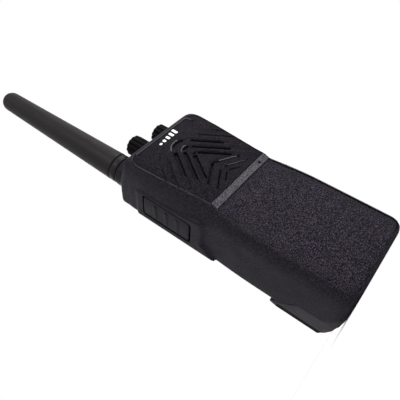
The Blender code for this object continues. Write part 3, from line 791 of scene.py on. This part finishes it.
def make_antenna(sheath_mat, ring_mat):
    """Tapering sheath with a round tip, on its ring; both are open round the stud."""
    foot, tip = COLLAR_RADIUS, 6.1
    x, y, _ = centre_of("antenna_sheath")
    low, top = span("antenna_sheath", 2)
    profile = [(3.2, low + 6), (3.2, low), (7.5, low), (7.9, low + 0.3), (foot, low + 0.9)]
    for z in steps(low + 3, top - 6.0, 4.0):
        profile.append((blend(foot, tip, (z - low) / (top - 6 - low)), z))
    for i in range(13):
        a = math.pi / 2 * i / 12
        profile.append((max(6.05 * math.cos(a), 0.05), top - 5.5 + 5.5 * math.sin(a)))
    sheath = object_from("antenna_cover", lathe(profile, x, y, 80), 50.0)
    dress(sheath, sheath_mat, "antenna_rubber", "antenna", "antenna_sheath")

    low, top = span("antenna_ring", 2)
    profile = [(3.7, top - 0.2), (3.7, low), (7.1, low), (7.6, low + 0.3), (7.95, low + 0.9),
               (foot, low + 1.5), (foot, top - 0.8), (7.85, top - 0.3), (7.4, top)]
    ring = object_from("antenna_collar", lathe(profile, x, y, 80), 50.0)
    dress(ring, ring_mat, "smooth_black", "antenna", "antenna_ring")


# --- Talk key --------------------------------------------------------------

def rounded_span(v, low, high, u0, u1, radius):
    """Lowest and highest u of a rounded rectangle at a height v."""
    near = min(v - low, high - v)
    cut = 0.0
    if near < radius:
        rise = radius - max(near, 0.0)
        cut = radius - math.sqrt(max(radius * radius - rise * rise, 0.0))
    return u0 + cut, u1 - cut


def make_talk_key(mat):
    """Key with a dished face and three ribs across it."""
    ky0, ky1 = span("talk_key", 1)
    kz0, kz1 = span("talk_key", 2)
    key_x = span("talk_key", 0)[0]

    def depth_at(y, z):
        across = (y - (ky0 + ky1) / 2) / (ky1 - ky0)
        depth = 0.35 + 0.9 * across**2
        for rib in (106.7, 99.3, 92.0):
            hump = band(z, rib - 0.9, rib + 0.9, 0.45) * band(y, ky0 + 2.6, ky1 - 2.0, 0.6)
            depth -= 0.5 * hump
        return depth + 0.35

    key = plate("talk_button", kz0, kz1, lambda z: rounded_span(z, kz0, kz1, ky0, ky1, 1.7),
                depth_at, 1.7, 0.35, lambda y, z, d: (key_x + d, y, z))
    dress(key, mat, "smooth_black", "talk_key", "talk_key")


def make_accessory_cover(mat):
    """Cover with a dished face and four fine grip lines."""
    y0, y1 = span("accessory_cover", 1)
    z0, z1 = span("accessory_cover", 2)
    x_out = span("accessory_cover", 0)[1]

    def depth_at(y, z):
        across = (y - (y0 + y1) / 2) / (y1 - y0)
        depth = 0.12 + 0.5 * across**2
        for line in (96.5, 99.0, 101.5, 104.0):
            depth -= 0.16 * band(z, line - 0.4, line + 0.4, 0.3) * band(y, y0 + 3, y1 - 4, 0.5)
        return depth

    cover = plate("jack_cover", z0, z1, lambda z: rounded_span(z, z0, z1, y0, y1, 2.0),
                  depth_at, 0.8, 0.4, lambda y, z, d: (x_out - d, y, z))
    return dress(cover, mat, "black_rubber", "accessory_cover", "accessory_cover")


# --- Battery ---------------------------------------------------------------

def make_battery(mat, foot_mat, strip_mat):
    """Case in the bay, with a foot that wraps under the housing and a strip on its back."""
    half, case_back, foot_back = 25.3, 34.6, 37.0
    end = SIDE_X - 0.1
    main = rounded_rectangle(-half, 17.6, half, case_back, 1.8)
    bm = join_rings(bmesh.new(), [[(x, y, z) for x, y in main] for z in (3.4, 109.0)])
    base = [(13.9, 0.0), (22.5, 0.0), (26.0, 0.9), (29.6, 2.5), (33.2, 4.8), (35.8, 7.6)]
    back = [(foot_back, 11.0), (foot_back, 29.2), (36.5, 30.6), (35.2, 33.0),
            (case_back, 34.6)]
    outline = base + back + seam_profile(GAP)[:0:-1]
    rings = []
    for x in steps(-end, end, 1.0):
        over = max(abs(x) - (end - FOOT_CORNER), 0.0)
        lift = FOOT_CORNER - math.sqrt(max(FOOT_CORNER**2 - over**2, 0.0))
        trim = 1.2 * smoothstep(SIDE_X - 2.6, end, abs(x)) ** 2
        rings.append([(x, min(y, foot_back - trim), max(z, lift)) for y, z in outline])
    join_rings(bm, rings)
    case = soften(object_from("battery_shell", bm), 0.5, 4)
    latch_x, inside_x = 9.4, 23.6
    latch = [(-latch_x, -2.0), (latch_x, -2.0), (latch_x, 2.0), (-latch_x, 2.0)]
    inside = [(-inside_x, 10.0), (inside_x, 10.0), (inside_x, 106.0), (-inside_x, 106.0)]
    carve(case, prism_y(latch, 18.8, 24.4), prism_y(inside, 12.0, 33.0))
    dress(case, mat, "black_shell", "battery", "battery_case", "foot_strip")
    case.data.materials.append(foot_mat)
    case.data.materials.append(strip_mat)
    for face in case.data.polygons:
        y, z = (face.center.y - FRONT_Y) / MM, face.center.z / MM
        if y > 33.2 and 3.0 < z < 30.4:
            face.material_index = 2
        elif z < SEAM_TOP_Z + 0.1:
            face.material_index = 1
    return case


# --- Camera, light and floor -----------------------------------------------

def aim_light(name, place, target, size, power):
    """White disc lamp in metres and watts, turned to a target."""
    data = bpy.data.lights.new(name, "AREA")
    data.shape = "DISK"
    data.size = size
    data.energy = power
    obj = bpy.data.objects.new(name, data)
    obj.location = place
    obj.rotation_euler = (Vector(target) - Vector(place)).to_track_quat("-Z", "Y").to_euler()
    bpy.context.scene.collection.objects.link(obj)
    return obj


def make_camera():
    """The photograph's view, as recovered from the edges of the front."""
    data = bpy.data.cameras.new("camera")
    data.lens = 39.6
    data.sensor_width = 36.0
    data.clip_start = 0.01
    right = Vector((0.60526, -0.04706, -0.79463))
    up = Vector((0.57040, -0.67066, 0.47419))
    back = Vector((-0.55525, -0.74027, -0.37908))
    camera = bpy.data.objects.new("camera", data)
    turn = Matrix((right, up, back)).transposed().to_4x4()
    camera.matrix_world = Matrix.Translation(at(-139.95, -154.94, 3.0)) @ turn
    bpy.context.scene.collection.objects.link(camera)
    bpy.context.scene.camera = camera


def make_studio():
    scene = bpy.context.scene
    scene.view_settings.view_transform = "Standard"
    world = bpy.data.worlds.new("studio")
    world.use_nodes = True
    background = world.node_tree.nodes["Background"]
    background.inputs["Color"].default_value = (1.0, 1.0, 1.0, 1.0)
    background.inputs["Strength"].default_value = 1.0
    scene.world = world

    bm = bmesh.new()
    bmesh.ops.create_grid(bm, x_segments=1, y_segments=1, size=3000.0)
    floor = object_from("floor", bm)
    floor.location = (0.0, 0.0, -0.0001)
    s = Shader("pale_floor")
    cloud = s.noise(160.0, 2.0)
    base = s.mix(s.spread(cloud, 0.3, 0.7), (0.86, 0.86, 0.86), (0.89, 0.89, 0.89))
    gloss = s.spread(cloud, 0.3, 0.7, 0.75, 0.85)
    s.finish(base, gloss, s.bump(s.noise(2.0), 0.01))
    floor.data.materials.append(s.mat)

    middle = (0.0, 0.0, 0.08)
    aim_light("key", (0.45, -0.50, 0.50), middle, 0.25, 1.6)
    aim_light("low", (0.35, -0.60, 0.04), middle, 0.2, 2.2)
    aim_light("edge", (-0.33, -0.70, 0.50), middle, 0.12, 2.4)
    aim_light("right", (0.80, 0.10, 0.25), middle, 0.15, 3.0)
    aim_light("rim", (0.2, 0.7, 0.5), middle, 0.5, 2.0)


# --- Build -----------------------------------------------------------------

def paint(mats):
    """Gives every CAD node its slot's material; some are replaced by finer shapes."""
    slots = {part["node"]: part["material_slot"] for part in frame["record"]["subparts"]}
    for node, obj in frame["nodes"].items():
        obj.data.materials.clear()
        obj.data.materials.append(mats.get(slots[node]))


def build():
    # Grained plastics: colour, grain, depth, speckle, roughness, specular
    shell = grained_plastic("shell_grain", (0.0028, 0.0021, 0.0036), 0.45, 0.06, 0.7, 0.5)
    panel = grained_plastic("panel_grain", (0.0040, 0.0033, 0.0050),
                            0.44, 0.2, 1.0, 0.55, 0.05)
    grille = grained_plastic("grille_grain", (0.0022, 0.0018, 0.0028),
                             0.42, 0.05, 0.9, 0.5, 0.03)
    # lighter grey painted light: stands in for the light the divider band's sloping face
    # catches
    trim = grained_plastic("trim_painted_light", (0.030, 0.027, 0.033), 0.5, 0.05, 0.3, 0.6)
    key = grained_plastic("key_grain", (0.0036, 0.0029, 0.0044), 0.3, 0.02, 0.4, 0.5)
    smooth = satin_plastic("satin_black", (0.0050, 0.0043, 0.0056), 0.42)
    foot = satin_plastic("foot_satin", (0.017, 0.0145, 0.019), 0.5)
    # pale satin painted on as the highlight of the grille's left edge, its crests and the
    # label rim
    line = satin_plastic("painted_edge_highlight", (0.058, 0.054, 0.062), 0.5)
    sheath = satin_plastic("sheath_rubber", (0.0065, 0.0050, 0.0055), 0.5)
    black = rubber("black_rubber_skin", (0.0030, 0.0026, 0.0032))
    # near-black painted shade for faces inside the grille slots
    painted_slot_shade = rubber("slot_shade", (0.0004, 0.0004, 0.0005), 0.9)
    steel = metal("plated_steel", (0.6, 0.6, 0.61), 0.32, (1.0, 1.0, 0.1))
    mats = {
        "black_shell": shell, "grained_panel": panel, "grey_trim": trim,
        "smooth_black": smooth, "black_rubber": black, "antenna_rubber": sheath,
        "cell_wrap": satin_plastic("cell_sleeve", (0.05, 0.15, 0.3), 0.4),
        "green_board": circuit_board("solder_mask"),
        "cast_aluminium": metal("cast_chassis", (0.55, 0.56, 0.57), 0.48),
        "bright_steel": steel,
        "gold_contact": metal("gold_plate", (0.8, 0.58, 0.26), 0.3),
        "speaker_paper": woven("cone_paper"),
        "light_pipe": lens("light_lens", (0.35, 0.03, 0.02)),
    }
    paint(mats)
    bars = satin_plastic("bar_ink", (0.75, 0.75, 0.74), 0.5)

    make_camera()
    make_studio()
    make_housing(shell)
    make_grille(grille, painted_slot_shade, line)
    make_label_marks(bars)
    make_label_rim(line)
    make_divider(trim)
    make_front_inlay(panel)
    make_knob("channel_knob", "channel_knob", black)
    make_knob("volume_knob", "volume_knob", black)
    make_antenna(sheath, smooth)
    make_talk_key(key)
    make_accessory_cover(black)
    make_battery(shell, foot, black)


build()
